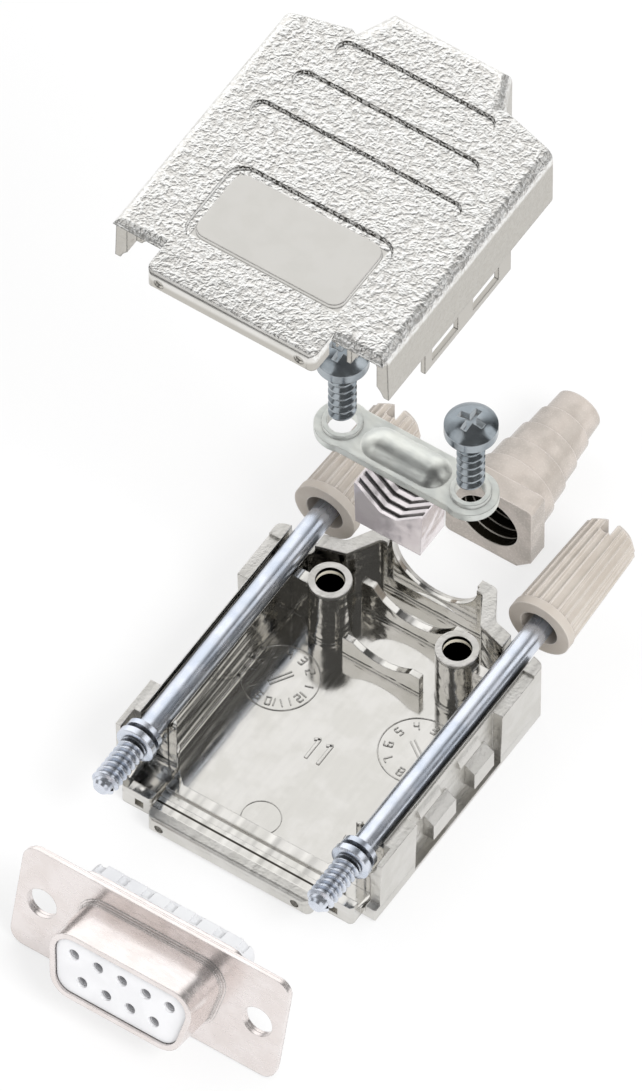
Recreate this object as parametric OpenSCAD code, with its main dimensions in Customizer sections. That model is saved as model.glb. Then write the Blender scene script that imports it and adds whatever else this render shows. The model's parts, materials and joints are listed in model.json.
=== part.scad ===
// Nine-way socket d-sub connector with a two-piece die-cast hood, laid out as it goes together.
// X runs across the hood, Y from the mating face to the cable end, Z up from the base.

/* [Hood] */
// Width over the two side walls
hood_w = 31; // [30.9:0.1:33]
// Length of the side walls
hood_l = 29.5; // [29:0.1:31]
// Height of the lower shell up to the parting plane
lower_h = 9; // [8.9:0.1:9.6]
// Height of the cover above the parting plane
cover_h = 6.6; // [6.6:0.1:7.6]
// Thickness of the side walls
wall = 1.9; // [1.8:0.05:2]
// Thickness of the floor and of the roof
floor_t = 1.2; // [1:0.05:1.4]
// Width of the neck where it leaves the hood
neck_w = 17.4; // [17:0.1:19]
// Width of the neck at the cable end
neck_end_w = 13.4; // [13:0.1:15]
// How far the back edge slopes out to the neck
back_slope = 1.8; // [1.5:0.1:2.2]
// How far the neck stands out beyond the back edge
neck_l = 3.4; // [3.2:0.1:4]
// How far the roof of the cover stands out over the neck
neck_brow = 0.9; // [0:0.1:1.2]
// Length of the two front lips
lip_w = 19; // [18:0.1:19.2]
// How far the front lips stand out
lip_out = 2.9; // [2.4:0.1:3.2]

/* [Layout] */
// Lift of the cover above its closed place
cover_lift = 77.4; // [70:0.2:90]
// Lift of the clamp strap above its seat
strap_lift = 25.6; // [22:0.1:28]
// Lift of the two clamp screws above their seat
screw_lift = 35.2; // [34:0.1:38]
// Lift of the toothed insert above its seat
insert_lift = 19.8; // [15:0.1:21]
// How far the lifted strap and its screws lie to the right
strap_aside = 1.4; // [0:0.1:1.6]
// How far the lifted cover lies to the right
cover_aside = 0.6; // [0:0.1:1]
// Distance of the cable boot behind its slot
boot_back = 11.9; // [8:0.1:18]
// Distance of the connector in front of its slot
plug_front = 20.2; // [16:0.1:24]
// Sideways offset of the connector
plug_aside = 1.95; // [0:0.05:2]
// Lean of the connector as it stands on its flange
plug_lean = 14; // [10:0.5:14]

/* [Screws] */
// Distance between the two jackscrews
jack_pitch = 24.99; // [24.9:0.01:25.1]
// Diameter of the jackscrew rod
rod_d = 2.5; // [2.3:0.05:2.6]
// Diameter of the jackscrew thread
thread_d = 2.84; // [2.8:0.01:2.86]
// Length of the fluted knob
knob_l = 13.4; // [12:0.1:15]
// Diameter of the knob at its front ring
knob_d = 7; // [6.6:0.1:7.2]
// Distance between the two clamp screws
post_pitch = 14.8; // [14.6:0.1:15]
// Diameter of the clamp screw heads
head_d = 5.3; // [5:0.1:5.4]

/* [Connector] */
// Width of the connector flange
flange_w = 30.81; // [30.5:0.01:31]
// Height of the connector flange
flange_h = 12.55; // [12.4:0.01:12.6]
// Distance between contacts in a row
contact_pitch = 2.77; // [2.74:0.01:2.78]
// Distance between the two rows
row_pitch = 2.84; // [2.8:0.01:2.86]

/* [Hidden] */
$fn = 48;
e = 0.01;
cast_color = [0.85, 0.84, 0.8];
steel_color = [0.76, 0.79, 0.84];
beige_color = [0.8, 0.75, 0.67];
tin_color = [0.9, 0.88, 0.86];
white_color = [0.95, 0.95, 0.94];
pink_color = [0.8, 0.77, 0.78];
gold_color = [0.8, 0.66, 0.35];

axis_z = lower_h - 0.5;
top_z = lower_h + cover_h;
front_y = -15;
back_y = front_y + hood_l;
lip_z = 0.15;
lip_t = 2.3;
draft = 0.25;
base_y = back_y + back_slope;
end_y = base_y + neck_l;
jack_x = jack_pitch / 2;
post_x = post_pitch / 2;
post_y = 11.5;
post_top = lower_h + 0.7;
recess = 1.2;
recess_y = -7.8;
recess_l = 15.1;
window_y = [-6.4, 0.6];
window_l = 4.4;
tongue_t = 0.5;
snap_z = lower_h - 2.3;
trough_y = front_y + 4.2;
hole_r = 1.7;
slot_y = end_y - 3.4;
boot_w = 10;

cavity = [
  [-hood_w / 2 + wall, front_y + 2.2], [hood_w / 2 - wall, front_y + 2.2],
  [hood_w / 2 - wall, back_y - 1.2], [neck_w / 2 - 0.9, base_y - 1.3],
  [neck_end_w / 2 - 0.8, end_y - 1.4], [-neck_end_w / 2 + 0.8, end_y - 1.4],
  [-neck_w / 2 + 0.9, base_y - 1.3], [-hood_w / 2 + wall, back_y - 1.2]
];

// Plan of a casting whose neck ends at y
function outline(y) = [
  [-hood_w / 2, front_y], [hood_w / 2, front_y], [hood_w / 2, back_y],
  [neck_w / 2, base_y], [neck_end_w / 2, y], [-neck_end_w / 2, y],
  [-neck_w / 2, base_y], [-hood_w / 2, back_y]
];
function unit(v) = v / norm(v);
function swing(a) = a > 180 ? a - 360 : (a < -180 ? a + 360 : a);
function bend(a, b, c, r, n) =
  let (u = unit(a - b), v = unit(c - b), half = acos(u * v) / 2)
  let (m = b + unit(u + v) * r / sin(half), s = b + u * r / tan(half) - m, t = b + v * r / tan(half) - m)
  let (a0 = atan2(s[1], s[0]), sweep = swing(atan2(t[1], t[0]) - a0))
  [for (i = [0:n]) m + r * [cos(a0 + sweep * i / n), sin(a0 + sweep * i / n)]];
function smooth(p, r, n) =
  let (k = len(p))
  [for (i = [0:k - 1]) each bend(p[(i + k - 1) % k], p[i], p[(i + 1) % k], r, n)];

module round_rect(w, h, r) {
  square([w - 2 * r, h], center = true);
  square([w, h - 2 * r], center = true);
  for (x = [-1, 1], y = [-1, 1])
    translate([x * (w / 2 - r), y * (h / 2 - r)]) circle(r = r);
}

// Outer profile of a casting: sides drawn in towards the outer face, and rounded there
module cast_profile(w, h, r) {
  a = w / 2 - draft;
  polygon(concat(
    [[w / 2, h + 1], [-w / 2, h + 1]],
    bend([-w / 2, h], [-a, 0], [a, 0], r, 6),
    bend([-a, 0], [a, 0], [w / 2, h], r, 6)));
}

// Solid half of the hood, outer face down, rounded along every outer edge
module cast_body(h, r, y) {
  length = y - front_y;
  intersection() {
    linear_extrude(height = h) polygon(smooth(outline(y), 0.9, 5));
    rotate([90, 0, 0]) translate([0, 0, -y - 1])
      linear_extrude(height = length + 2) cast_profile(hood_w, h, r);
    translate([-hood_w, front_y + length / 2, 0]) rotate([90, 0, 90])
      linear_extrude(height = 2 * hood_w) cast_profile(length, h, r);
  }
}

// Rounding along one flank of the neck, cut from the outer face
module flank_round(y, r) {
  p = [neck_w / 2, base_y];
  q = [neck_end_w / 2, y];
  translate(p) rotate([0, 0, atan2(q[1] - p[1], q[0] - p[0])]) rotate([90, 0, 90])
    linear_extrude(height = norm(q - p) + 1) difference() {
      translate([-1, -1]) square(r + 1);
      translate([r, r]) circle(r = r);
    }
}

// Low lug in front of the flange slot, with a small square recess
module corner_lug(x) {
  difference() {
    translate([x * 11.7, front_y - 0.1, 0]) linear_extrude(height = 2.6) round_rect(3.6, 2.2, 0.5);
    translate([x * 11.3 - 0.5, front_y - 2, 0.5]) cube([1, 1.4, 1]);
  }
}

// Window through the front wall beside the lip, where the jackscrew lies
module front_window(z, h, back) {
  for (x = [-1, 1]) translate([x * 11.9, back, z]) rotate([90, 0, 0])
    linear_extrude(height = back - front_y + 0.1) round_rect(4.4, h, 0.9);
}

// Lip along the front edge: a nose with rounded ends that slopes up into the outer face
module front_lip() {
  intersection() {
    translate([-lip_w / 2, 0, 0]) rotate([90, 0, 90]) linear_extrude(height = lip_w) polygon(concat(
      [[front_y + 2.4, 0], [front_y + 2.4, lip_z + lip_t]],
      bend([front_y, lip_z + lip_t], [front_y - lip_out, lip_z + lip_t], [front_y - lip_out, lip_z], 0.4, 4),
      bend([front_y - lip_out, lip_z + lip_t], [front_y - lip_out, lip_z], [front_y, 0], 0.6, 4),
      bend([front_y - lip_out, lip_z], [front_y + 0.4, 0], [front_y + 2.4, 0], 1.2, 3)));
    linear_extrude(height = 4) hull() for (x = [-1, 1]) {
      translate([x * (lip_w / 2 - 1), front_y - lip_out + 1]) circle(r = 1);
      translate([x * (lip_w / 2 - 1), front_y + 4]) circle(r = 1);
    }
  }
}

// Half-round clearances for both jackscrews, open at the parting plane
module jack_channels() {
  for (x = [-jack_x, jack_x]) {
    jack_channel(x, end_y + 1, 40, 1.6);
    jack_channel(x, front_y + 3.4, 8, 2.4);
  }
}

// One U-shaped channel, running forward from y, closed half a turn round the screw
module jack_channel(x, y, l, r) {
  translate([x, y, 0]) rotate([90, 0, 0]) cylinder(h = l, r = r);
  translate([x - r, y - l, 0]) cube([2 * r, l, 0.6]);
}

// Space for the boot flange and the way out for its barrel
module cable_way() {
  translate([-boot_w / 2 - 0.2, slot_y, -boot_w / 2 - 0.2]) cube([boot_w + 0.4, 2.5, boot_w + 0.4]);
  translate([0, end_y + 2, 0]) rotate([90, 0, 0]) cylinder(h = 8, r = 5);
}

// Slot across the front for the connector flange, and the mouth for its front shell
module plug_way() {
  translate([-flange_w / 2 - 0.2, front_y - 0.1, -flange_h / 2 - 0.1])
    cube([flange_w + 0.4, 1.1, flange_h + 0.2]);
  translate([-8.7, front_y - 5, -4.4]) cube([17.4, 8, 8.8]);
  translate([-9.5, front_y + 0.5, -5.6]) cube([19, 5, 11.2]);
}

module lower_shell() {
  color(cast_color) {
    shell_casting();
    for (x = [-1, 1], y = window_y) translate([x * (hood_w / 2 - recess), y + 0.4, snap_z]) snap_wedge(x);
  }
}

module shell_casting() {
  difference() {
    union() {
      cast_body(lower_h, 0.6, end_y);
      front_lip();
      for (x = [-1, 1]) corner_lug(x);
    }
    difference() {
      translate([0, 0, floor_t]) linear_extrude(height = lower_h) polygon(smooth(cavity, 0.6, 4));
      lower_inside();
    }
    translate([0, 0, axis_z]) {
      jack_channels();
      cable_way();
      plug_way();
    }
    // the front opening over the lip
    translate([-9.7, front_y - 5, lip_z + lip_t]) cube([19.4, 8, lower_h]);
    front_window(5.6, 8.6, trough_y);
    for (x = [-1, 1]) {
      // side recess that takes the tongue of the cover
      translate([x * hood_w / 2 - recess, recess_y, 0.9]) cube([2 * recess, recess_l, lower_h + 1]);
      translate([x * post_x, post_y, floor_t - 0.2]) cylinder(h = 20, r = 1.45);
      lip_dimple(x);
      // outer half of the rim, a step below the parting plane
      translate([x * (hood_w / 2 - 0.35) - 1, front_y - 1, lower_h - 0.3]) cube([2, hood_l - 0.6, 1]);
    }
  }
}

// Wedge that the window of the tongue drops over
module snap_wedge(side) {
  translate([0, window_l - 0.8, 0]) rotate([90, 0, 0]) linear_extrude(height = window_l - 0.8)
    polygon([[-side * 0.2, 0], [side * 0.42, 0], [side * 0.42, 0.4], [-side * 0.2, 1.8]]);
}

// Everything that stands up from the floor of the lower shell
module lower_inside() {
  wall_x = jack_x - 0.9;
  for (x = [-1, 1]) {
    mirror([x > 0 ? 0 : 1, 0, 0]) {
      // bed of the jackscrew, a low ridge along its inner wall
      translate([0, base_y - 1, 0]) rotate([90, 0, 0]) linear_extrude(height = base_y - 1 - trough_y) polygon([
        [wall_x - 0.15, 0], [wall_x, lower_h - 1.6], [wall_x + 0.45, lower_h - 1.6], [wall_x + 0.6, lower_h - 2.3],
        [hood_w / 2, lower_h - 2.3], [hood_w / 2, 0]]);
      // web from the end of the bed to the front, sloping down
      translate([wall_x + 0.2, trough_y + 0.4, 0]) rotate([0, 0, 225]) rotate([90, 0, 0]) linear_extrude(height = 0.7)
        polygon([[0, 0], [0, lower_h - 0.4], [1.4, lower_h - 0.4], [5, 1.4], [5, 0]]);
      // brace between post and bed
      translate([post_x, post_y - 0.6, 0]) cube([wall_x - post_x + 0.1, 1.2, lower_h - 1.6]);
    }
    // posts for the clamp screws
    translate([x * post_x, post_y, 0]) cylinder(h = post_top, r = 2.18);
  }
  saddle(9.6, 9, 3, 0.7);
  saddle(15.3, 12, 4.6, 0.8);
}

// Low rib across the cable way with a hollow top
module saddle(y, w, h, t) {
  translate([0, y + t / 2, 0]) rotate([90, 0, 0]) linear_extrude(height = t) difference() {
    translate([-w / 2, 0]) square([w, floor_t + h]);
    translate([0, axis_z]) circle(r = axis_z - floor_t - 1.9);
  }
}

module cover() {
  color(cast_color) translate([cover_aside, 0, cover_lift]) difference() {
    union() {
      translate([0, 0, top_z]) mirror([0, 0, 1]) difference() {
        union() {
          cast_body(cover_h, 1.1, end_y + neck_brow);
          front_lip();
        }
        for (m = [0, 1]) mirror([m, 0, 0]) flank_round(end_y + neck_brow, 1.7);
      }
      for (x = [-1, 1]) translate([x * (hood_w / 2 - recess + 0.56 + tongue_t / 2) - tongue_t / 2, recess_y + 0.2, snap_z - 0.9])
        cube([tongue_t, recess_l - 0.4, 5]);
    }
    difference() {
      translate([0, 0, lower_h - 1]) linear_extrude(height = cover_h + 1 - floor_t)
        polygon(smooth(cavity, 0.6, 4));
      cover_inside();
    }
    translate([0, 0, axis_z]) {
      jack_channels();
      cable_way();
      plug_way();
    }
    translate([-9.7, front_y - 5, lower_h - 1]) cube([19.4, 8, cover_h - lip_z - lip_t + 1]);
    front_window(11.1, 6.2, front_y + 2.6);
    for (x = [-1, 1], y = window_y) translate([x * hood_w / 2 - 1.2, y, snap_z - 0.1])
      cube([2.4, window_l, 1.9]);
    for (x = [-1, 1]) translate([0, 0, top_z]) mirror([0, 0, 1]) lip_dimple(x);
    translate([0, 0, top_z - 0.45]) {
      grip_groove(3.7, 23.4);
      grip_groove(8.8, 20.6);
      grip_groove(13.9, 17.6);
      label_field();
    }
  }
}

// Posts and ribs under the roof of the cover
module cover_inside() {
  for (x = [-1, 1]) translate([x * (jack_x - 2.7) - 0.45, front_y, lower_h]) cube([0.9, 23, cover_h]);
}

// Small round dimple near each end of a lip
module lip_dimple(x) {
  translate([x * 7.9, front_y - lip_out + 0.35, lip_z + lip_t / 2]) rotate([90, 0, 0]) cylinder(h = 1, r = 0.5);
}

module grip_groove(y, w) {
  linear_extrude(height = 1) {
    translate([0, y]) square([w - 2.2, 2.2], center = true);
    for (x = [-1, 1]) translate([x * (w / 2 - 1.1), y]) circle(r = 1.1);
  }
}

// Sunk ring round the bare label field
module label_field() {
  linear_extrude(height = 1) translate([0, -7.6]) difference() {
    round_rect(18.4, 10.2, 2);
    round_rect(16.6, 8.4, 1.3);
  }
}

// Jackscrew rod, lying along Y with its threaded end to the front
module jackscrew(x) {
  color(steel_color) translate([x, front_y - 6.2, axis_z]) rotate([-90, 0, 0]) {
    cylinder(h = 0.6, r1 = thread_d / 2 - 0.5, r2 = thread_d / 2);
    translate([0, 0, 0.6]) cylinder(h = 5.4, r = thread_d / 2);
    translate([0, 0, 6]) cylinder(h = 0.9, r = 2.15);
    translate([0, 0, 6.9]) cylinder(h = 43, r = rod_d / 2);
  }
}

module retainer(x) {
  color(steel_color) translate([x, front_y - 6.2 + 7.4, axis_z]) rotate([-90, 0, 0]) difference() {
    cylinder(h = 0.6, r = 1.95);
    translate([0, 0, -1]) cylinder(h = 3, r = rod_d / 2 + 0.05);
  }
}

module knob(x) {
  back_r = knob_d / 2 - 0.55;
  flutes = 20;
  color(beige_color) translate([x, front_y - 6.2 + 39.4, axis_z]) rotate([-90, 0, 0]) difference() {
    union() {
      cylinder(h = 1, r = knob_d / 2);
      translate([0, 0, 1]) cylinder(h = knob_l - 1.8, r1 = knob_d / 2 - 0.1, r2 = back_r);
      translate([0, 0, knob_l - 0.8]) cylinder(h = 0.8, r1 = back_r, r2 = back_r - 0.8);
    }
    for (i = [0:flutes - 1]) rotate([0, 0, i * 360 / flutes])
      translate([knob_d / 2 + 0.04, 0, 1]) rotate([0, -2.6, 0]) cylinder(h = knob_l + 1, r = 0.46, $fn = 12);
    translate([0, 0, -e]) cylinder(h = 2.2, r = 2.1);
    translate([0, 0, 2]) cylinder(h = knob_l - 4, r = rod_d / 2);
    translate([-0.65, -knob_d, knob_l - 1.8]) cube([1.3, 2 * knob_d, 3]);
  }
}

// Pressed bar across the posts, humped in the middle and turned up round its holes
// Round-ended bead along the strap, its crown at height top
module bead(r, top) {
  intersection() {
    translate([0, 0, top - r]) {
      rotate([0, 90, 0]) cylinder(h = 5.6, r = r, center = true);
      for (x = [-2.8, 2.8]) translate([x, 0, 0]) sphere(r = r);
    }
    translate([-8, -4, 0]) cube([16, 8, 4]);
  }
}

module clamp_strap() {
  color(cast_color) translate([strap_aside, post_y, post_top + 0.02 + strap_lift]) difference() {
    union() {
      linear_extrude(height = 0.9) {
        square([post_pitch, 5.2], center = true);
        for (x = [-1, 1]) translate([x * post_x, 0]) circle(r = 2.8);
      }
      for (x = [-1, 1]) translate([x * post_x, 0, 0]) cylinder(h = 1.4, r = 2);
      bead(2.6, 1.9);
    }
    bead(1.9, 1.2);
    for (x = [-1, 1]) translate([x * post_x, 0, -1]) cylinder(h = 4, r = 1.5);
  }
}

// Pan head screw with a cross recess, point down
module clamp_screw(x) {
  seat = post_top + 1.44;
  color(steel_color) translate([x + strap_aside, post_y, seat + screw_lift]) difference() {
    union() {
      translate([0, 0, -9.4]) cylinder(h = 0.9, r1 = 0.4, r2 = 1.1);
      translate([0, 0, -8.5]) cylinder(h = 8.5 + e, r = 1.1);
      intersection() {
        cylinder(h = 2.1, r = head_d / 2);
        translate([0, 0, -1.9]) sphere(r = 4);
      }
    }
    for (a = [0, 90]) rotate([0, 0, a]) translate([-1.4, -0.35, 1]) cube([2.8, 0.7, 2]);
  }
}

// Block with a toothed V, its two lower corners cut away
module clamp_insert() {
  w = 7.9;
  h = 6.2;
  d = 4.2;
  color(pink_color) translate([0, post_y + 1, floor_t + 2.05 + insert_lift]) difference() {
    translate([0, d / 2, 0]) rotate([90, 0, 0]) linear_extrude(height = d) difference() {
      polygon([[0.2 - w / 2, 0], [w / 2 - 0.2, 0], [w / 2, h], [-w / 2, h]]);
      polygon([[-3.7, h + e], [-0.9, 3.6], [0.9, 3.6], [3.7, h + e]]);
    }
    for (y = [-1.5:1:1.5]) translate([0, y + 0.25, 0]) rotate([90, 0, 0]) linear_extrude(height = 0.5)
      polygon([[-3.8, h + e], [-3.8, h - 0.5], [-1.1, 3], [1.1, 3], [3.8, h - 0.5], [3.8, h + e]]);
  }
}

// Cable boot: square flange held in the slot and a barrel in five steps, bored narrower in three
module ferrule() {
  flange_t = 2.4;
  step_l = 2.74;
  color(beige_color) translate([0, slot_y + 0.1 + boot_back, boot_w / 2]) rotate([-90, 0, 0]) difference() {
    union() {
      linear_extrude(height = flange_t) difference() {
        round_rect(boot_w, boot_w, 0.6);
        translate([boot_w / 2, boot_w / 2]) rotate(45) square(2.4, center = true);
      }
      for (i = [0:4]) translate([0, 0, flange_t + i * step_l])
        cylinder(h = step_l + e, r1 = 4.5 - i * 0.46, r2 = 4.34 - i * 0.46);
    }
    translate([0, 0, -1]) cylinder(h = 20, r = 1.75);
    translate([0, 0, -1]) cylinder(h = flange_t + 3 * step_l + 1, r = 2.4);
    translate([0, 0, -1]) cylinder(h = flange_t + 1.5 * step_l + 1, r = 3.4);
  }
}

// Places a sub-part of the connector: standing on its flange edge, leaning back
module stand_plug() {
  translate([plug_aside, front_y - plug_front, 0]) rotate([-plug_lean, 0, 0]) translate([0, 0, flange_h / 2])
    children();
}

// Plan of the keyed front shell, seen from the front
module dee(w, h, r) {
  taper = h * tan(10) / 2;
  polygon(smooth([[-w / 2 + taper, -h / 2], [w / 2 - taper, -h / 2], [w / 2 + taper, h / 2], [-w / 2 - taper, h / 2]], r, 6));
}

// How far the flare at the foot of the front shell has drawn in at height t
function cove(t) = sqrt(0.8 * 0.8 - (0.8 - t) * (0.8 - t));

module front_shell() {
  color(tin_color) stand_plug() rotate([90, 0, 0]) difference() {
    union() {
      linear_extrude(height = 0.5) round_rect(flange_w, flange_h, 1.6);
      linear_extrude(height = 6.1) dee(15.9, 7.9, 2.4);
      for (t = [0.1:0.2:0.7]) linear_extrude(height = 0.5 + t) dee(17.5 - 2 * cove(t), 9.5 - 2 * cove(t), 3.2 - cove(t));
    }
    translate([0, 0, -1]) linear_extrude(height = 6.6) dee(15.2, 7.2, 2.1);
    translate([0, 0, -1]) linear_extrude(height = 9) dee(14.7, 6.7, 1.9);
    for (x = [-jack_x, jack_x]) translate([x, 0, -1]) cylinder(h = 3, r = hole_r);
  }
}

module rear_shell() {
  color(tin_color) stand_plug() rotate([-90, 0, 0]) difference() {
    union() {
      linear_extrude(height = 0.4) round_rect(flange_w - 0.3, flange_h - 0.4, 1.5);
      linear_extrude(height = 1) round_rect(19.4, 11.8, 1.9);
    }
    translate([0, 0, -1]) linear_extrude(height = 8) round_rect(18.8, 11.1, 1.6);
    for (x = [-jack_x, jack_x]) translate([x, 0, -1]) cylinder(h = 3, r = hole_r);
  }
}

module front_insulator() {
  color(white_color) stand_plug() rotate([90, 0, 0]) difference() {
    translate([0, 0, 0]) linear_extrude(height = 5.8) dee(14.6, 6.6, 1.8);
    contact_places() translate([0, 0, -1]) cylinder(h = 9, r = 0.62);
  }
}

module rear_insulator() {
  color(white_color) stand_plug() rotate([-90, 0, 0]) difference() {
    union() {
      linear_extrude(height = 3) round_rect(18.6, 11, 1.6);
      linear_extrude(height = 4.2) round_rect(16.4, 8.4, 1.4);
    }
    mirror([0, 1, 0]) contact_places() translate([0, 0, -1]) cylinder(h = 12, r = 0.62);
    for (x = [-3:1:3], y = [-5.5, 5.5]) translate([x * contact_pitch, y, 1.6]) cylinder(h = 4, r = 0.5);
  }
}

function contact_at(i) =
  i < 5 ? [(i - 2) * contact_pitch, row_pitch / 2] : [(i - 6.5) * contact_pitch, -row_pitch / 2];

module contact_places() {
  for (i = [0:8]) translate(contact_at(i)) children();
}

// Socket contact: split barrel in front, solder cup behind
module contact(i) {
  color(gold_color) stand_plug() rotate([90, 0, 0]) translate(contact_at(i)) difference() {
    union() {
      translate([0, 0, -4.4]) cylinder(h = 9.8, r = 0.6);
      translate([0, 0, -5.4]) cylinder(h = 1.2, r = 0.75);
    }
    translate([0, 0, 0.5]) cylinder(h = 6, r = 0.5);
    translate([0, 0, -6]) cylinder(h = 1.8, r = 0.5);
    translate([-1, 0, -6]) cube([2, 2, 1.4]);
  }
}

module jackscrew_left() { jackscrew(-jack_x); }
module jackscrew_right() { jackscrew(jack_x); }
module retainer_left() { retainer(-jack_x); }
module retainer_right() { retainer(jack_x); }
module knob_left() { knob(-jack_x); }
module knob_right() { knob(jack_x); }
module clamp_screw_left() { clamp_screw(-post_x); }
module clamp_screw_right() { clamp_screw(post_x); }
module contact_1() { contact(0); }
module contact_2() { contact(1); }
module contact_3() { contact(2); }
module contact_4() { contact(3); }
module contact_5() { contact(4); }
module contact_6() { contact(5); }
module contact_7() { contact(6); }
module contact_8() { contact(7); }
module contact_9() { contact(8); }

lower_shell();
cover();
clamp_strap();
clamp_screw_left();
clamp_screw_right();
clamp_insert();
ferrule();
jackscrew_left();
jackscrew_right();
retainer_left();
retainer_right();
knob_left();
knob_right();
front_shell();
rear_shell();
front_insulator();
rear_insulator();
contact_1();
contact_2();
contact_3();
contact_4();
contact_5();
contact_6();
contact_7();
contact_8();
contact_9();
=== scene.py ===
import json
import math
import bmesh
import bpy
from mathutils import Matrix, Vector

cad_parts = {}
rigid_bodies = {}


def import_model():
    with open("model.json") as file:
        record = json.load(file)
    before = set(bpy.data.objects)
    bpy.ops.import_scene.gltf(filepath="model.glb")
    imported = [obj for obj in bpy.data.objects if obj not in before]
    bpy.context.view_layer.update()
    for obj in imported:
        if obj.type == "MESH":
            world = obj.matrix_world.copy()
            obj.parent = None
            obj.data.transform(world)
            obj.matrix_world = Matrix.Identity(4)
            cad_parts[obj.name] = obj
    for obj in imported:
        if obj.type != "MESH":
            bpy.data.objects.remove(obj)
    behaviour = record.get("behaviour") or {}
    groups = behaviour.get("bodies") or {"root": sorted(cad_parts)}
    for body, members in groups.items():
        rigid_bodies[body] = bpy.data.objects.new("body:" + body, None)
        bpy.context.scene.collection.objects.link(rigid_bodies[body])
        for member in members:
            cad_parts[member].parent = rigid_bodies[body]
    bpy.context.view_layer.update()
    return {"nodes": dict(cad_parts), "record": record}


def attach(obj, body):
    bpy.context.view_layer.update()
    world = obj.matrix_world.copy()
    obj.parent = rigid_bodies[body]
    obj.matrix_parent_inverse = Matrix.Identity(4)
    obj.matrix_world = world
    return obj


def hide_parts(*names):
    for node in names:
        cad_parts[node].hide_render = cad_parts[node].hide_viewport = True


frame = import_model()
nodes = frame["nodes"]
mm = 0.001
bodyOf = {node: body for body, inside in frame["record"]["behaviour"]["bodies"].items() for node in inside}


def linear(code):
    # sRGB hex to linear rgba
    parts = [int(code[i:i + 2], 16) / 255 for i in (0, 2, 4)]
    return [p / 12.92 if p <= 0.04045 else ((p + 0.055) / 1.055) ** 2.4 for p in parts] + [1.0]


def addNode(tree, kind, settings=None, links=None):
    # one shader node: settings by attribute or socket, links from other sockets
    node = tree.nodes.new(kind)
    for key, value in (settings or {}).items():
        if isinstance(key, str) and hasattr(node, key):
            setattr(node, key, value)
        else:
            node.inputs[key].default_value = value
    for key, source in (links or {}).items():
        tree.links.new(source, node.inputs[key])
    return node


def ramp(tree, source, low, high, toLow=0.0, toHigh=1.0):
    # smooth step of a value between two limits
    limits = {"interpolation_type": "SMOOTHSTEP", 1: low, 2: high, 3: toLow, 4: toHigh}
    return addNode(tree, "ShaderNodeMapRange", limits, {0: source}).outputs[0]


def calc(tree, operation, *values):
    # math on sockets or plain numbers, taken from the left two at a time
    total = values[0]
    for value in values[1:] or (None,):
        node = addNode(tree, "ShaderNodeMath", {"operation": operation})
        for slot, item in enumerate((total, value)):
            if isinstance(item, (int, float)):
                node.inputs[slot].default_value = item
            elif item is not None:
                tree.links.new(item, node.inputs[slot])
        total = node.outputs[0]
    return total


def away(tree, value, centre):
    # how far a value lies from a centre, on either side
    return calc(tree, "ABSOLUTE", calc(tree, "SUBTRACT", value, centre))


def spanOf(tree, first, second):
    # length of the vector with these two parts
    squares = [calc(tree, "MULTIPLY", part, part) for part in (first, second)]
    return calc(tree, "SQRT", calc(tree, "ADD", *squares))


def feeding(socket):
    # what is linked into a socket so far
    return socket.links[0].from_socket


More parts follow.
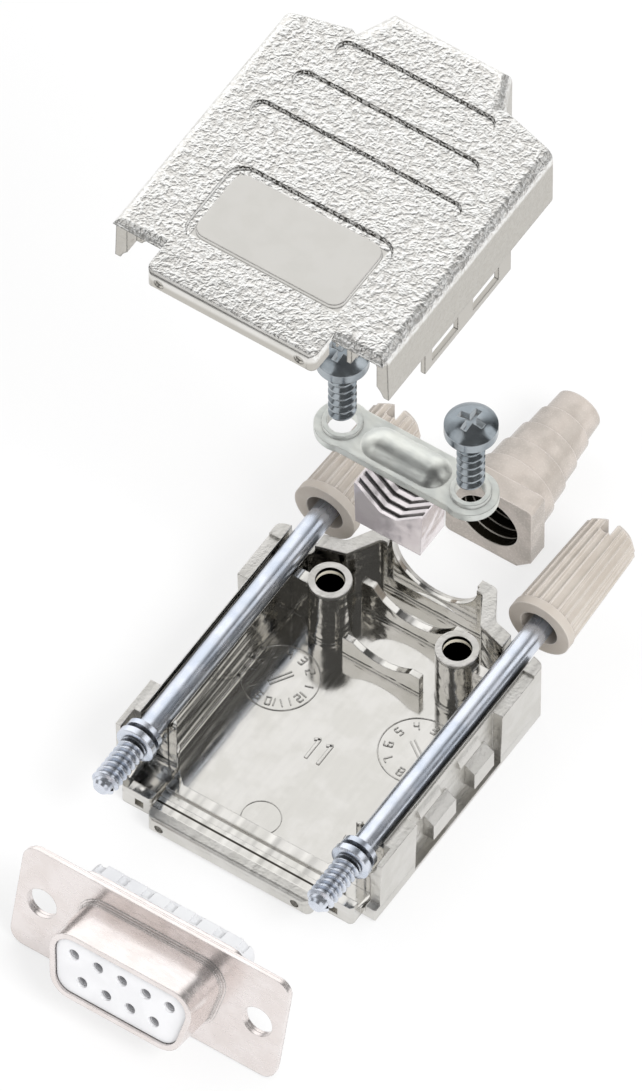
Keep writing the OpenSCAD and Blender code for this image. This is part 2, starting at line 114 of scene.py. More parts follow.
def finish(name, look):
    # layered surface: broad colour patches, grain, slow waves of the skin, painted highlights on the edges, painted
    # shade in the creases
    mat = bpy.data.materials.new(name)
    mat.use_nodes = True
    tree = mat.node_tree
    shader = tree.nodes["Principled BSDF"]
    coords = addNode(tree, "ShaderNodeTexCoord").outputs["Object"]
    point = addNode(tree, "ShaderNodeVectorMath", {"operation": "SCALE", "Scale": 1000.0}, {0: coords}).outputs[0]
    drawnOut, rolled = (
        addNode(tree, "ShaderNodeVectorMath", {"operation": "MULTIPLY", 1: look.get(key, (1, 1, 1))},
                {0: point}).outputs[0]
        for key in ("stretch", "waveStretch"))
    patches, grain, waves = (
        addNode(tree, "ShaderNodeTexNoise", {"Scale": scale, "Detail": detail}, {"Vector": where}).outputs["Fac"]
        for scale, detail, where in ((look.get("patch", 0.35), 3.0, point), (look.get("grain", 4.0), 2.0, drawnOut),
                                     (look.get("wave", 0.3), 1.0, rolled)))
    if "waveFrom" in look:  # only the walls above this height are wavy
        height = addNode(tree, "ShaderNodeSeparateXYZ", None, {0: point}).outputs[2]
        waves = calc(tree, "MULTIPLY", waves, ramp(tree, height, look["waveFrom"], look["waveFrom"] + 0.5))
    soft = addNode(tree, "ShaderNodeBevel", {"samples": 4, "Radius": look.get("edge", 0.12) * mm}).outputs[0]
    flat = addNode(tree, "ShaderNodeNewGeometry").outputs["Normal"]
    turn = addNode(tree, "ShaderNodeVectorMath", {"operation": "DOT_PRODUCT"}, {0: soft, 1: flat}).outputs["Value"]
    edge = ramp(tree, turn, 0.995, 0.93)
    tone = addNode(tree, "ShaderNodeMix", {"data_type": "RGBA", 6: linear(look["base"]), 7: linear(look["tint"])},
                   {0: ramp(tree, patches, 0.38, 0.62)})
    # painted highlight: edges found from the bevel normals are painted paler
    edgeHighlight = addNode(tree, "ShaderNodeMix", {"data_type": "RGBA", 7: linear(look.get("edgeHighlight", look["base"]))},
                   {0: calc(tree, "MULTIPLY", edge, look.get("edgeHighlightAmount", 0.6)), 6: tone.outputs[2]})
    # painted shade: corners and creases found by ambient occlusion are darkened towards a shade colour
    hidden = addNode(tree, "ShaderNodeAmbientOcclusion", {"samples": 6, "Distance": look.get("reach", 0.7) * mm})
    creaseShade = addNode(tree, "ShaderNodeMix", {"data_type": "RGBA", 7: linear(look.get("creaseShade", "3A362F"))}, {
        0: ramp(tree, hidden.outputs["AO"], 0.75, 0.3, 0.0, look.get("creaseShadeAmount", 0.75)), 6: edgeHighlight.outputs[2]})
    tree.links.new(creaseShade.outputs[2], shader.inputs["Base Color"])
    shader.inputs["Metallic"].default_value = look.get("metal", 1.0)
    tree.links.new(ramp(tree, grain, 0.3, 0.7, *look["rough"]), shader.inputs["Roughness"])
    slow = addNode(tree, "ShaderNodeBump", {"Strength": 1.0, "Distance": look.get("waveDepth", 0.02) * mm},
                   {"Height": waves, "Normal": soft})
    fine = addNode(tree, "ShaderNodeBump", {"Strength": 1.0, "Distance": look.get("grainDepth", 0.004) * mm},
                   {"Height": grain, "Normal": slow.outputs[0]})
    tree.links.new(fine.outputs[0], shader.inputs["Normal"])
    return {"mat": mat, "tree": tree, "shader": shader, "point": point, "normal": fine.outputs[0],
            "slow": slow.outputs[0], "edge": edge, "soft": soft}


looks = {
    # bright nickel plate on a zinc die casting, inside of the hood
    "nickel": {"base": "DDDBD7", "tint": "D6D4CF", "edgeHighlight": "F6F4F0", "rough": (0.07, 0.15), "grain": 1.6,
               "stretch": (1.0, 0.12, 1.0), "grainDepth": 0.003, "wave": 0.7, "waveStretch": (1.0, 0.1, 1.0),
               "waveDepth": 0.12, "waveFrom": 1.5, "edge": 0.14, "edgeHighlightAmount": 0.4, "creaseShadeAmount": 0.35},
    # nickel plate over a grained casting, outside of the hood
    "grained": {"base": "E6E4E0", "tint": "DFDDD8", "edgeHighlight": "FAF9F6", "rough": (0.26, 0.36), "grain": 3.4,
                "grainDepth": 0.012, "waveDepth": 0.006, "edge": 0.2, "edgeHighlightAmount": 0.1, "reach": 0.5, "creaseShadeAmount": 0.9},
    # blue-passivated zinc plate on turned steel
    "zinc": {"base": "DFE4EE", "tint": "CBD3E0", "edgeHighlight": "F0F3FA", "metal": 0.93, "rough": (0.2, 0.32), "grain": 1.2,
             "stretch": (1.0, 0.25, 1.0), "grainDepth": 0.006, "edge": 0.08},
    # the same plate, painted darker as shade, on the clamp screws
    "screwZinc": {"base": "A8AFB4", "tint": "8D959B", "edgeHighlight": "D3D8DC", "metal": 0.96, "rough": (0.14, 0.26),
                  "grain": 1.6, "stretch": (1.0, 1.0, 0.3), "waveDepth": 0.02, "grainDepth": 0.006, "edge": 0.1,
                  "reach": 0.5},
    # zinc-plated strip steel of the strap, a little greenish
    "strip": {"base": "E0E2DC", "tint": "D3D6D2", "edgeHighlight": "F3F3EE", "rough": (0.32, 0.46), "grain": 2.2,
              "stretch": (0.3, 1.0, 1.0), "waveDepth": 0.006, "grainDepth": 0.004, "edge": 0.15},
    # tin plate on the drawn steel of the connector shells
    "tin": {"base": "F1EAE8", "tint": "EBE3E0", "edgeHighlight": "FBF7F5", "metal": 0.9, "rough": (0.2, 0.3), "grain": 2.0,
            "stretch": (0.3, 1.0, 1.0), "grainDepth": 0.002, "wave": 0.15, "waveDepth": 0.008, "edge": 0.15},
    # moulded beige plastic of the knobs
    "knobPlastic": {"base": "C3BBB2", "tint": "BDB4AA", "edgeHighlight": "E6DFD8", "metal": 0.0, "rough": (0.42, 0.56),
                    "grain": 6.0, "waveDepth": 0.001, "grainDepth": 0.003, "edge": 0.2, "edgeHighlightAmount": 0.9, "reach": 0.6,
                    "creaseShadeAmount": 0.6},
    # the same plastic on the cable boot, paler
    "bootPlastic": {"base": "C2B9B1", "tint": "B2AAA2", "edgeHighlight": "F2EAE4", "metal": 0.0, "rough": (0.16, 0.3),
                    "grain": 5.0, "wave": 0.5, "waveDepth": 0.14, "grainDepth": 0.003, "edge": 0.2, "edgeHighlightAmount": 0.8,
                    "reach": 1.0, "creaseShadeAmount": 0.6, "creaseShade": "6A625A"},
    # glass-filled white resin of the contact face
    "whiteResin": {"base": "F8F8FA", "tint": "F3F3F5", "edgeHighlight": "FDFDFE", "metal": 0.0, "rough": (0.4, 0.52),
                   "grain": 7.0, "waveDepth": 0.001, "grainDepth": 0.002, "edge": 0.08},
    # the paler, slightly translucent resin of the rear half
    "rearResin": {"base": "DDDEE0", "tint": "D7D8DB", "edgeHighlight": "F8F8F9", "metal": 0.0, "rough": (0.34, 0.46),
                  "grain": 5.0, "waveDepth": 0.001, "grainDepth": 0.002, "edge": 0.12, "creaseShadeAmount": 0.4},
    # diecast insert with a lilac tinge
    "insert": {"base": "F0E9EB", "tint": "E6DEE1", "edgeHighlight": "F8F3F5", "metal": 0.6, "rough": (0.1, 0.2), "grain": 3.0,
               "grainDepth": 0.001, "wave": 0.5, "waveDepth": 0.09, "edge": 0.1, "creaseShadeAmount": 0.9, "reach": 0.9,
               "creaseShade": "1E1B1C"},
    # tinned socket contacts
    "contact": {"base": "E6E6E8", "tint": "DCDCDE", "metal": 0.5, "rough": (0.3, 0.45), "grain": 5.0, "edge": 0.05,
                "creaseShadeAmount": 0.2},
}
made = {name: finish(name, look) for name, look in looks.items()}


def outline(tree, axes, shape):
    # distance from a rounded rectangle's outline, in the plane of X and Y
    gaps = []
    for n in (0, 1):
        past = calc(tree, "SUBTRACT", away(tree, axes[n], shape["at"][n]), shape["half"][n] - shape["round"])
        gaps.append(calc(tree, "MAXIMUM", past, 0.0))
    return away(tree, spanOf(tree, *gaps), shape["round"])


def coverFinish():
    # leather grain on the outside, smooth on the label field, on the lip's face and on the tongues
    size = {
        "label": {"at": (0.6, -7.6), "half": (8.35, 4.25)},
        "lip": -17.5,              # the grain stops short of the lip's face
        "tongues": (85.9, 86.6),   # heights between which the grain begins
        "edge": (92.1, 91.5),      # heights between which the top turns into the flank
        "top": (92.0, 92.4),
        "relief": 0.048,           # depth of the grain
        "grooves": (               # the three grips and the ring round the label
            {"at": (0.6, 3.7), "half": (11.7, 1.1), "round": 1.1},
            {"at": (0.6, 8.8), "half": (10.3, 1.1), "round": 1.1},
            {"at": (0.6, 13.9), "half": (8.8, 1.1), "round": 1.1},
            {"at": (0.6, -7.6), "half": (9.2, 5.1), "round": 2.0}),
    }
    surface = made["grained"]
    tree, point, shader = surface["tree"], surface["point"], surface["shader"]
    axes = addNode(tree, "ShaderNodeSeparateXYZ", None, {0: point}).outputs
    label = size["label"]
    reach = [calc(tree, "SUBTRACT", away(tree, axes[n], label["at"][n]), label["half"][n]) for n in (0, 1)]
    field = ramp(tree, calc(tree, "MAXIMUM", *reach), -0.05, 0.12)
    ahead = ramp(tree, axes[1], size["lip"] - 0.15, size["lip"] + 0.1)
    mask = calc(tree, "MULTIPLY", field, ahead, ramp(tree, axes[2], *size["tongues"]))

    warp = addNode(tree, "ShaderNodeTexNoise", {"Scale": 1.1, "Detail": 1.0}, {"Vector": point}).outputs["Color"]
    pushed = addNode(tree, "ShaderNodeVectorMath", {"operation": "SCALE", "Scale": 3.0}, {0: warp}).outputs[0]
    bent = addNode(tree, "ShaderNodeMix", {"data_type": "VECTOR", 0: 0.22}, {4: point, 5: pushed}).outputs[1]
    cells, pores = (
        addNode(tree, "ShaderNodeTexNoise", {"Scale": scale, "Detail": 1.0, "Roughness": 0.5},
                {"Vector": where}).outputs["Fac"]
        for scale, where in ((2.6, bent), (4.2, point)))
    height = calc(tree, "ADD", ramp(tree, cells, 0.25, 0.75),
                  calc(tree, "MULTIPLY", ramp(tree, pores, 0.25, 0.75), 0.4))
    # painted highlight: the raised crests of the grain are painted paler inside the grained part
    crestLight = calc(tree, "ADD", calc(tree, "MULTIPLY", cells, 0.6), calc(tree, "MULTIPLY", pores, 0.4))

    crestHighlight = addNode(tree, "ShaderNodeMix", {"data_type": "RGBA", 6: linear("E6E4E0"), 7: linear("FFFFFD")},
                     {0: ramp(tree, crestLight, 0.4, 0.58)})
    pale = addNode(tree, "ShaderNodeMix", {"data_type": "RGBA"}, {
        0: calc(tree, "MULTIPLY", mask, 0.85), 6: feeding(shader.inputs["Base Color"]), 7: crestHighlight.outputs[2]})
    # painted shade: the flanks below the top are painted darker
    flank = calc(tree, "MULTIPLY", ramp(tree, axes[2], *size["edge"]), 0.85)
    shadedFlank = addNode(tree, "ShaderNodeMix", {"data_type": "RGBA", 7: linear("B9B5AD")}, {0: flank, 6: pale.outputs[2]})

    normal = addNode(tree, "ShaderNodeSeparateXYZ", None, {0: surface["soft"]}).outputs
    # walls that face the front hold the shade, and the far wall of each groove is the dark one
    sunk = ramp(tree, calc(tree, "MULTIPLY", normal[1], -1.0), 0.05, 0.25, 0.12, 1.0)
    dark = calc(tree, "MULTIPLY", surface["edge"], ramp(tree, pores, 0.4, 0.55, 0.6, 1.0), sunk)
    for groove in size["grooves"]:
        end = groove["at"][1] + groove["half"][1]
        far = ramp(tree, axes[1], end - 1.3, end - 0.4, 0.22, 1.0)
        line = calc(tree, "MULTIPLY", ramp(tree, outline(tree, axes, groove), 0.16, 0.06),
                    ramp(tree, axes[2], *size["top"]))
        dark = calc(tree, "MAXIMUM", dark, calc(tree, "MULTIPLY", line, far, ramp(tree, pores, 0.44, 0.56, 0.35, 1.0)))
    shadeLines = addNode(tree, "ShaderNodeMix", {"data_type": "RGBA", 7: linear("2E2B25")}, {0: dark, 6: shadedFlank.outputs[2]})
    inLabel = calc(tree, "MULTIPLY", calc(tree, "SUBTRACT", 1.0, field), 0.6)
    tone = addNode(tree, "ShaderNodeMix", {"data_type": "RGBA", 7: linear("D2D0CB")}, {0: inLabel, 6: shadeLines.outputs[2]})
    tree.links.new(tone.outputs[2], shader.inputs["Base Color"])

    relief = addNode(tree, "ShaderNodeBump", {"Strength": 1.0, "Distance": size["relief"] * mm},
                     {"Height": calc(tree, "MULTIPLY", height, mask), "Normal": surface["slow"]})
    tree.links.new(relief.outputs[0], shader.inputs["Normal"])
    rough = addNode(tree, "ShaderNodeMix", {"data_type": "FLOAT", 2: 0.3, 3: 0.36}, {0: mask})
    tree.links.new(rough.outputs[0], shader.inputs["Roughness"])


coverFinish()


def shellFinish():
    # grained, satin outer walls, two painted shade lines over the lip for its slot, painted shade in the holes of the
    # posts
    size = {
        "side": 14.15, "front": -16.6, "top": 8.62, "back": 19.2,  # beyond these the casting is grained
        "slots": (-14.72, -15.72), "slotEnd": (9.6, 9.4), "slotFoot": (2.2, 2.4), "slotHead": (2.7, 2.5),
        "post": (7.4, 11.5), "hole": (1.5, 1.47), "rim": (9.68, 9.6), "threadTop": 8.3,
    }
    surface = made["nickel"]
    tree, point, shader = surface["tree"], surface["point"], surface["shader"]
    axes = addNode(tree, "ShaderNodeSeparateXYZ", None, {0: point}).outputs
    width = calc(tree, "ABSOLUTE", axes[0])
    beyond = calc(tree, "MAXIMUM", *[calc(tree, "SUBTRACT", *pair) for pair in (
        (width, size["side"]), (size["front"], axes[1]), (axes[2], size["top"]), (axes[1], size["back"]))])
    outside = ramp(tree, beyond, -0.05, 0.05)
    pores = addNode(tree, "ShaderNodeTexNoise", {"Scale": 3.4, "Detail": 2.0}, {"Vector": point}).outputs["Fac"]
    relief = addNode(tree, "ShaderNodeBump", {"Strength": 1.0, "Distance": 0.03 * mm}, {
        "Height": calc(tree, "MULTIPLY", pores, outside), "Normal": surface["normal"]})
    tree.links.new(relief.outputs[0], shader.inputs["Normal"])
    rough = addNode(tree, "ShaderNodeMix", {"data_type": "FLOAT", 3: 0.36},
                    {0: outside, 2: feeding(shader.inputs["Roughness"])})
    tree.links.new(rough.outputs[0], shader.inputs["Roughness"])

    # painted shade: two dark lines stand for the shadowed edges of the lip's slot
    lines = calc(tree, "MAXIMUM", *[ramp(tree, away(tree, axes[1], y), 0.15, 0.08) for y in size["slots"]])
    shade = calc(tree, "MULTIPLY", lines, ramp(tree, width, *size["slotEnd"]),
                 ramp(tree, axes[2], *size["slotFoot"]), ramp(tree, axes[2], *size["slotHead"]))
    shadeLines = addNode(tree, "ShaderNodeMix", {"data_type": "RGBA", 7: linear("3A3732")},
                    {0: shade, 6: feeding(shader.inputs["Base Color"])})
    # painted shade: each post hole is painted near black below its rim, apart from the ring at the thread's mouth
    reach = spanOf(tree, *[calc(tree, "SUBTRACT", *pair) for pair in zip((width, axes[1]), size["post"])])
    hole = calc(tree, "MULTIPLY", ramp(tree, reach, *size["hole"]), ramp(tree, axes[2], *size["rim"]))
    step = ramp(tree, away(tree, axes[2], size["threadTop"]), 0.3, 0.2)
    deep = calc(tree, "MULTIPLY", hole, calc(tree, "SUBTRACT", 1.0, step))
    holed = addNode(tree, "ShaderNodeMix", {"data_type": "RGBA", 7: linear("1C1A15")}, {0: deep, 6: shadeLines.outputs[2]})
    lit = calc(tree, "MULTIPLY", hole, step)  # painted highlight: the mouth of the thread shows as a pale dull ring
    ringed = addNode(tree, "ShaderNodeMix", {"data_type": "RGBA", 7: linear("FFF8E6")}, {0: lit, 6: holed.outputs[2]})
    tree.links.new(ringed.outputs[2], shader.inputs["Base Color"])
    tree.links.new(calc(tree, "SUBTRACT", 1.0, lit), shader.inputs["Metallic"])


shellFinish()


def bootFinish():
    # the bore is painted glossy black as shade, with thin pale rings painted as highlights on its ribs
    bore = {"z": 5.0, "ringsPerMm": 0.9, "steps": ((3.4, 34.85), (2.4, 38.95), (1.75, 44.4))}  # radius, end
    surface = made["bootPlastic"]
    tree, shader = surface["tree"], surface["shader"]
    axes = addNode(tree, "ShaderNodeSeparateXYZ", None, {0: surface["point"]}).outputs
    reach = spanOf(tree, axes[0], calc(tree, "SUBTRACT", axes[2], bore["z"]))
    inside = calc(tree, "MAXIMUM", *[
        calc(tree, "MULTIPLY", ramp(tree, reach, wall + 0.04, wall + 0.01), ramp(tree, axes[1], end + 0.05, end))
        for wall, end in bore["steps"]])
    cycle = calc(tree, "FRACT", calc(tree, "MULTIPLY", axes[1], bore["ringsPerMm"]))
    rings = calc(tree, "MULTIPLY", ramp(tree, away(tree, cycle, 0.5), 0.1, 0.03), 0.8)
    # painted shade inside the bore, crossed by painted highlight rings
    boreShadeAndHighlights = addNode(tree, "ShaderNodeMix", {"data_type": "RGBA", 6: linear("16140F"), 7: linear("C9C4BC")}, {0: rings})
    tone = addNode(tree, "ShaderNodeMix", {"data_type": "RGBA"},
                   {0: inside, 6: feeding(shader.inputs["Base Color"]), 7: boreShadeAndHighlights.outputs[2]})
    tree.links.new(tone.outputs[2], shader.inputs["Base Color"])
    rough = addNode(tree, "ShaderNodeMix", {"data_type": "FLOAT", 3: 0.12},
                    {0: inside, 2: feeding(shader.inputs["Roughness"])})
    tree.links.new(rough.outputs[0], shader.inputs["Roughness"])


bootFinish()


def newObject(name, mesh, node, finishName):
    # shows a finished mesh in place of a CAD node
    obj = bpy.data.objects.new(name, mesh)
    bpy.context.scene.collection.objects.link(obj)
    mesh.materials.clear()
    mesh.materials.append(made[finishName]["mat"])
    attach(obj, bodyOf[node])
    return obj


def smoothMesh(work, name, angle=30):
    # smooth shading except across edges sharper than the angle
    bmesh.ops.recalc_face_normals(work, faces=work.faces)
    for face in work.faces:
        face.smooth = True
    for edge in work.edges:
        edge.smooth = len(edge.link_faces) == 2 and edge.calc_face_angle(0) < math.radians(angle)
    mesh = bpy.data.meshes.new(name)
    work.to_mesh(mesh)
    work.free()
    return mesh


def refine(node, finishName, angle=30):
    # welded copy of a CAD node with smooth curves and flat flats
    work = bmesh.new()
    work.from_mesh(nodes[node].data)
    bmesh.ops.remove_doubles(work, verts=work.verts, dist=0.002 * mm)
    bmesh.ops.dissolve_limit(work, angle_limit=math.radians(0.5), verts=work.verts, edges=work.edges)
    mesh = smoothMesh(work, node + "Shape", angle)
    obj = newObject(node + "Shown", mesh, node, finishName)
    even = obj.modifiers.new("even", "WEIGHTED_NORMAL")
    even.keep_sharp = True
    even.weight = 100
    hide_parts(node)
    return obj


finishOf = {
    "lower_shell": "nickel", "cover": "grained", "clamp_strap": "strip", "clamp_insert": "insert",
    "ferrule": "bootPlastic",
    "retainer_left": "zinc", "retainer_right": "zinc", "knob_left": "knobPlastic", "knob_right": "knobPlastic",
    "front_shell": "tin", "rear_shell": "tin", "front_insulator": "whiteResin", "rear_insulator": "rearResin",
}
for index in range(1, 10):
    finishOf["contact_%d" % index] = "contact"
for node, finishName in finishOf.items():
    refine(node, finishName)
print("CAD nodes finished")


def turned(work, profile, steps=64):
    # solid of revolution about local Z from (height, radius) pairs
    rim = [work.verts.new((radius, 0, height)) for height, radius in profile]
    chain = [work.edges.new(pair) for pair in zip(rim, rim[1:])]
    bmesh.ops.spin(work, geom=rim + chain, cent=(0, 0, 0), axis=(0, 0, 1), angle=math.tau, steps=steps, use_merge=True)
    bmesh.ops.remove_doubles(work, verts=work.verts, dist=0.001 * mm)


def thread(work, shape):
    # ridge wound about local Z, its crest held under the envelope of the tip
    steps = 40
    before = set(work.verts)
    low, high, pitch = shape["root"], shape["crest"], shape["pitch"]
    profile = [(0.0, low), (0.12, low), (0.42, high), (0.56, high), (0.86, low), (1.0, low)]
    rim = [work.verts.new((radius, 0, shape["from"] + part * pitch)) for part, radius in profile]
    chain = [work.edges.new(pair) for pair in zip(rim, rim[1:])]
    turns = math.ceil((shape["to"] - shape["from"]) / pitch)
    bmesh.ops.spin(work, geom=rim + chain, cent=(0, 0, 0), axis=(0, 0, 1), dvec=(0, 0, pitch / steps),
                   angle=math.tau * turns, steps=steps * turns)
    for vert in set(work.verts) - before:
        radius = math.hypot(vert.co.x, vert.co.y)
        limit = shape["envelope"](vert.co.z)
        if radius > limit:
            vert.co.x *= limit / radius
            vert.co.y *= limit / radius
        vert.co.z = min(max(vert.co.z, shape["from"]), shape["to"])
    bmesh.ops.remove_doubles(work, verts=work.verts, dist=0.001 * mm)


def addJackscrew(node, x):
    # rod, collar and threaded pin with a pointed end
    size = {"start": -21.2, "axis": 8.5, "crest": 1.42, "root": 1.05, "pitch": 0.72, "pin": 5.7}
    work = bmesh.new()
    thread(work, {"from": 0.15 * mm, "to": size["pin"] * mm,
                  **{key: size[key] * mm for key in ("root", "crest", "pitch")},
                  "envelope": lambda z: (0.75 + max(z / mm - 0.1, 0) * 1.1) * mm})
    turned(work, [(h * mm, r * mm) for h, r in (
        (0, 0), (0, 0.75), (0.25, 0.95), (0.4, 1.03), (5.75, 1.03), (5.9, 1.25), (6.0, 1.35), (6.0, 1.95),
        (6.12, 2.12), (6.78, 2.12), (6.9, 1.98), (6.9, 1.3), (7.0, 1.25), (49.8, 1.25), (49.88, 1.1), (49.9, 0))])
    start = Vector((x, size["start"], size["axis"])) * mm
    spot = Matrix.Translation(start) @ Matrix.Rotation(math.radians(-90), 4, "X")
    bmesh.ops.transform(work, matrix=spot, verts=work.verts)
    obj = newObject(node + "Shown", smoothMesh(work, node + "Shape", 40), node, "zinc")
    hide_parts(node)


def addClampScrew(node, x):
    # the CAD node's pan head with its cross recess, over a coarse thread
    size = {"seat": (x + 1.4, 11.5, 46.34), "crest": 1.4, "root": 0.98, "pitch": 1.1, "long": 9.4}
    seat = Vector(size["seat"])
    work = bmesh.new()
    work.from_mesh(nodes[node].data)
    bmesh.ops.remove_doubles(work, verts=work.verts, dist=0.002 * mm)
    below = [face for face in work.faces if face.calc_center_median().z < (seat.z - 0.02) * mm]
    bmesh.ops.delete(work, geom=below, context="FACES")
    bmesh.ops.transform(work, matrix=Matrix.Translation(-seat * mm), verts=work.verts)
    thread(work, {"from": -(size["long"] - 0.2) * mm, "to": -0.35 * mm,
                  **{key: size[key] * mm for key in ("root", "crest", "pitch")},
                  "envelope": lambda z: (0.3 + max(z / mm + size["long"], 0) * 0.8) * mm if z < 0 else 1})
    turned(work, [(h * mm, r * mm) for h, r in (
        (-9.4, 0), (-9.35, 0.2), (-8.3, 0.96), (-0.4, 0.96), (-0.1, 1.15), (0.05, 1.3))], 40)
    bmesh.ops.transform(work, matrix=Matrix.Translation(seat * mm), verts=work.verts)
    obj = newObject(node + "Shown", smoothMesh(work, node + "Shape", 40), node, "screwZinc")
    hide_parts(node)


def segment(work, start, end, level, width=0.16, height=0.1):
    # raised stroke between two points on the shell floor, in mm
    a, b = Vector((*start, level)), Vector((*end, level))
    turn = math.atan2(b.y - a.y, b.x - a.x)
    spread = Matrix.Diagonal(((b - a).length * mm, width * mm, height * mm, 1))
    spot = Matrix.Translation((a + b) / 2 * mm) @ Matrix.Rotation(turn, 4, "Z") @ spread
    bmesh.ops.create_cube(work, size=1.0, matrix=spot)


def ring(work, centre, radius, level, width=0.07):
    # thin raised circle
    start = len(work.verts)
    spot = Matrix.Translation(Vector((radius, 0, 0)) * mm) @ Matrix.Rotation(math.radians(90), 4, "X")
    rim = bmesh.ops.create_circle(work, segments=8, radius=width * mm, matrix=spot)["verts"]
    edges = list({edge for vert in rim for edge in vert.link_edges})
    bmesh.ops.spin(work, geom=rim + edges, cent=(0, 0, 0), axis=(0, 0, 1), angle=math.tau, steps=72, use_merge=True)
    moved = list(work.verts)[start:]
    bmesh.ops.transform(work, matrix=Matrix.Translation(Vector((*centre, level)) * mm), verts=moved)


# which strokes draw a digit, and where each stroke runs
strokes = {"0": "abcdef", "1": "bc", "2": "abged", "3": "abgcd", "4": "fgbc",
           "5": "afgcd", "6": "afgedc", "7": "abc", "8": "abcdefg", "9": "abfgcd"}
ends = {"a": ((-1, 2), (1, 2)), "b": ((1, 2), (1, 0)), "c": ((1, 0), (1, -2)), "d": ((-1, -2), (1, -2)),
        "e": ((-1, -2), (-1, 0)), "f": ((-1, 0), (-1, 2)), "g": ((-1, 0), (1, 0))}


def addMarks():
    # two dials with plain numbers, two short strokes and an ejector ring, cast into the shell floor
    floorLevel = 1.22
    digit = {"reach": 2.95, "gap": -0.85, "half": (-0.24, 0.22), "width": 0.13, "height": 0.12}
    bar = {"offset": 0.22, "half": 1.3, "width": 0.14, "height": 0.12}
    dials = [{"at": (-8.0, 3.7), "radius": 3.9, "numbers": 12, "bar": 58},
             {"at": (7.9, 3.8), "radius": 3.9, "numbers": 10, "bar": -35}]
    work = bmesh.new()
    for dial in dials:
        ring(work, dial["at"], dial["radius"], floorLevel)
        centre = Vector(dial["at"])
        for index in range(dial["numbers"]):
            angle = math.tau * index / dial["numbers"] + 0.3
            radial = Vector((math.cos(angle), math.sin(angle)))
            across = Vector((-radial.y, radial.x))
            text = str(index + 1)
            for slot, letter in enumerate(text):
                middle = centre + radial * digit["reach"] + across * (slot - (len(text) - 1) / 2) * digit["gap"]
                for stroke in strokes[letter]:
                    a, b = (middle + across * digit["half"][0] * p[0] + radial * digit["half"][1] * p[1]
                            for p in ends[stroke])
                    segment(work, a, b, floorLevel, digit["width"], digit["height"])
        turn = math.radians(dial["bar"])
        lean = Vector((math.cos(turn), math.sin(turn)))
        for offset in (-bar["offset"], bar["offset"]):
            middle = centre + Vector((-lean.y, lean.x)) * offset
            segment(work, middle - lean * bar["half"], middle + lean * bar["half"], floorLevel,
                    bar["width"], bar["height"])
    for x in (-0.75, 0.65):
        segment(work, (x, -2.9), (x, -0.3), floorLevel, 0.34, 0.16)
        segment(work, (x - 0.5, -0.6), (x + 0.1, -0.2), floorLevel, 0.28, 0.16)
    ring(work, (-0.4, -11.2), 2.0, floorLevel, 0.05)
    newObject("floorMarks", smoothMesh(work, "floorMarksShape"), "lower_shell", "nickel")


addMarks()


def addRecessBlocks():
    # catch blocks low in the side recess, below the reach of the tongues
    block = {"x": 14.87, "z": 4.0, "spans": ((-4.8, -0.9), (2.4, 5.8)), "width": 1.2, "height": 3.2,
             "outer": 14.9, "drop": 0.9}
    work = bmesh.new()
    for side in (-1, 1):
        for start, end in block["spans"]:
            middle = Vector((side * block["x"], (start + end) / 2, block["z"])) * mm
            spread = Matrix.Diagonal((block["width"] * mm, (end - start) * mm, block["height"] * mm, 1))
            cube = bmesh.ops.create_cube(work, size=1.0, matrix=Matrix.Translation(middle) @ spread)
            for vert in cube["verts"]:
                if vert.co.z > block["z"] * mm and abs(vert.co.x) > block["outer"] * mm:
                    vert.co.z -= block["drop"] * mm
    newObject("recessBlocks", smoothMesh(work, "recessBlocksShape"), "lower_shell", "nickel")


def addContactFloors():
    # spring leaves that close each socket a little below its mouth
    leaf = {"radius": 0.49, "thick": 0.3, "depth": 4.75, "pitch": 2.77, "row": 1.42}
    stand = {"at": (1.95, -35.2, 0), "centre": (0, 0, 6.275), "lean": -14}  # how the connector is placed
    spot = (Matrix.Translation(Vector(stand["at"]) * mm) @ Matrix.Rotation(math.radians(stand["lean"]), 4, "X")
            @ Matrix.Translation(Vector(stand["centre"]) * mm) @ Matrix.Rotation(math.radians(90), 4, "X"))
    for index in range(9):
        place, row = (index - 2, leaf["row"]) if index < 5 else (index - 6.5, -leaf["row"])
        work = bmesh.new()
        inside = Matrix.Translation(Vector((place * leaf["pitch"], row, leaf["depth"])) * mm)
        bmesh.ops.create_cone(work, cap_ends=True, segments=24, radius1=leaf["radius"] * mm,
                              radius2=leaf["radius"] * mm, depth=leaf["thick"] * mm, matrix=spot @ inside)
        name = str(index + 1)
        newObject("contactLeaf" + name, smoothMesh(work, "contactLeafShape" + name), "contact_" + name, "contact")


addContactFloors()
addRecessBlocks()
addJackscrew("jackscrew_left", -12.495)
addJackscrew("jackscrew_right", 12.495)
addClampScrew("clamp_screw_left", -7.4)
addClampScrew("clamp_screw_right", 7.4)
for obj in bpy.context.scene.objects:
    if any(word in obj.name for word in ("cover", "clamp_")):
        obj.visible_glossy = False  # pieces held above don't darken the polished floor below them
print("screws turned")

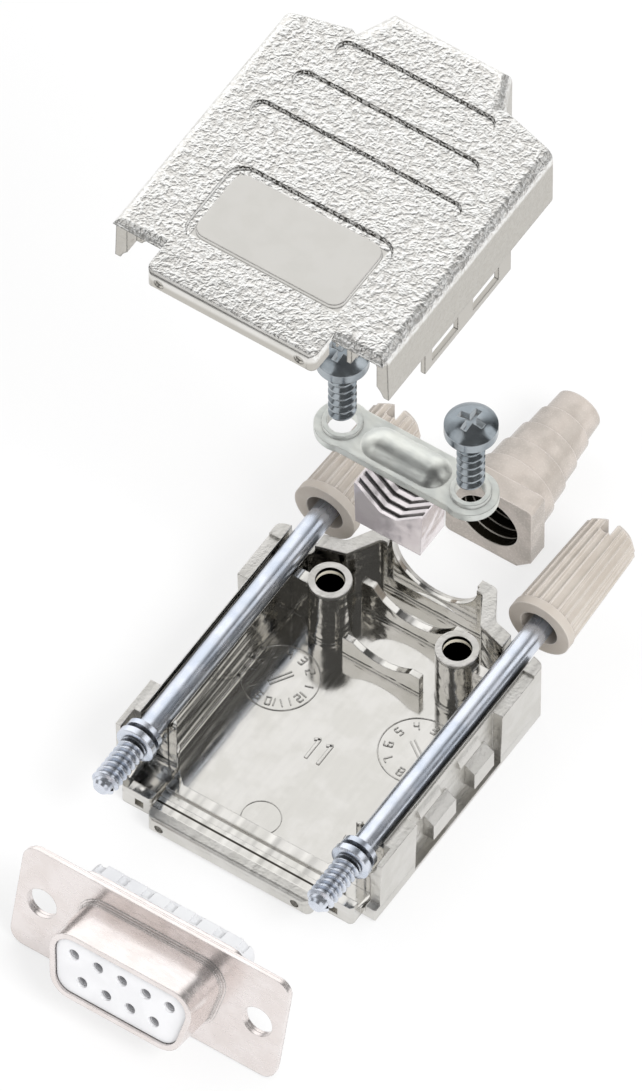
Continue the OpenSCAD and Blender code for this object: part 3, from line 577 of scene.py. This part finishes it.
world = bpy.data.worlds.new("studio")
bpy.context.scene.world = world
world.use_nodes = True
tree = world.node_tree
sky = tree.nodes["Background"]
ray = addNode(tree, "ShaderNodeLightPath").outputs
heading = addNode(tree, "ShaderNodeTexCoord").outputs["Generated"]
panels = [
    # direction, edge cosines, brightness
    ((-0.55, 0.75, 0.37), (0.6, 0.98), 1.5),
    ((-0.9, 0.1, 0.42), (0.86, 0.93), 0.6),
    ((0.622, 0.502, 0.602), (0.95, 0.962), 1.1),
    ((-0.45, -0.52, 0.72), (0.93, 0.95), 0.9),
    ((0.75, -0.55, 0.35), (0.93, 0.96), 0.9),
]
levels = {"base": 0.1, "most": 1.32, "diffuse": 0.76}  # of the light, in reflections and for the rest
total = levels["base"]
for direction, edges, power in panels:
    aim = Vector(direction).normalized()
    close = addNode(tree, "ShaderNodeVectorMath", {"operation": "DOT_PRODUCT", 1: aim}, {0: heading}).outputs["Value"]
    total = calc(tree, "ADD", ramp(tree, close, *edges, 0.0, power), total)
total = calc(tree, "MINIMUM", total, levels["most"])
mirrored = calc(tree, "MULTIPLY", ray["Is Glossy Ray"], calc(tree, "SUBTRACT", total, levels["diffuse"]))
unseen = calc(tree, "ADD", mirrored, levels["diffuse"])
seen = calc(tree, "MULTIPLY", ray["Is Camera Ray"], calc(tree, "SUBTRACT", 1.0, unseen))
level = calc(tree, "ADD", seen, unseen)
tree.links.new(level, sky.inputs["Strength"])
sky.inputs["Color"].default_value = (1, 1, 1, 1)

floorMesh = bpy.data.meshes.new("floorShape")
work = bmesh.new()
bmesh.ops.create_grid(work, x_segments=1, y_segments=1, size=3.0)
work.to_mesh(floorMesh)
work.free()
floor = bpy.data.objects.new("floor", floorMesh)
floor.location.z = -0.00005
bpy.context.scene.collection.objects.link(floor)
paper = bpy.data.materials.new("paper")
paper.use_nodes = True
tree = paper.node_tree
matt = tree.nodes["Principled BSDF"]
matt.inputs["Base Color"].default_value = (0.9, 0.9, 0.9, 1)
matt.inputs["Roughness"].default_value = 0.9
ray = addNode(tree, "ShaderNodeLightPath").outputs
glow = calc(tree, "ADD", calc(tree, "MULTIPLY", ray["Is Camera Ray"], 0.05), 0.95)
white = addNode(tree, "ShaderNodeEmission", {"Color": (1, 1, 1, 1)}, {"Strength": glow})
blend = addNode(tree, "ShaderNodeMixShader", {0: 0.7}, {1: matt.outputs[0], 2: white.outputs[0]})
tree.links.new(blend.outputs[0], tree.nodes["Material Output"].inputs["Surface"])
floorMesh.materials.append(paper)

lamps = [
    {"name": "key", "at": (0.5, -0.15, 0.6), "size": 0.3, "power": 3.8},
    {"name": "fill", "at": (-0.5, 0.35, 0.7), "size": 0.5, "power": 0.8},
]
for lamp in lamps:
    data = bpy.data.lights.new(lamp["name"], "AREA")
    data.size = lamp["size"]
    data.energy = lamp["power"]
    obj = bpy.data.objects.new(lamp["name"], data)
    obj.location = lamp["at"]
    obj.visible_glossy = False  # the panels in the world give the reflections
    obj.rotation_euler = (Vector(lamp["at"]) - Vector((0, 0, 0.03))).to_track_quat("Z", "Y").to_euler()
    bpy.context.scene.collection.objects.link(obj)

azimuth, elevation, scale = math.radians(33.55), math.radians(54.6), 10.34
distance = 2.4
aim = {"seen": (240.3, 804.8), "point": (0, -0.0154, 0.0088), "frame": (642, 1091)}
cam = bpy.data.cameras.new("camera")
camera = bpy.data.objects.new("camera", cam)
bpy.context.scene.collection.objects.link(camera)
bpy.context.scene.camera = camera
right = Vector((math.cos(azimuth), math.sin(azimuth), 0))
back = Vector((math.sin(azimuth) * math.cos(elevation), -math.cos(azimuth) * math.cos(elevation), math.sin(elevation)))
up = back.cross(right)
unit = 0.001 / scale
width, height = aim["frame"]
target = Vector(aim["point"]) + right * (width / 2 - aim["seen"][0]) * unit + up * (aim["seen"][1] - height / 2) * unit
camera.location = target + back * distance
camera.rotation_euler = Matrix((right, up, back)).transposed().to_euler()
cam.sensor_fit = "VERTICAL"
cam.sensor_height = 24
cam.sensor_width = 24
cam.lens = 24 * distance / (height * unit)
cam.clip_end = 100
bpy.context.scene.view_settings.view_transform = "Standard"
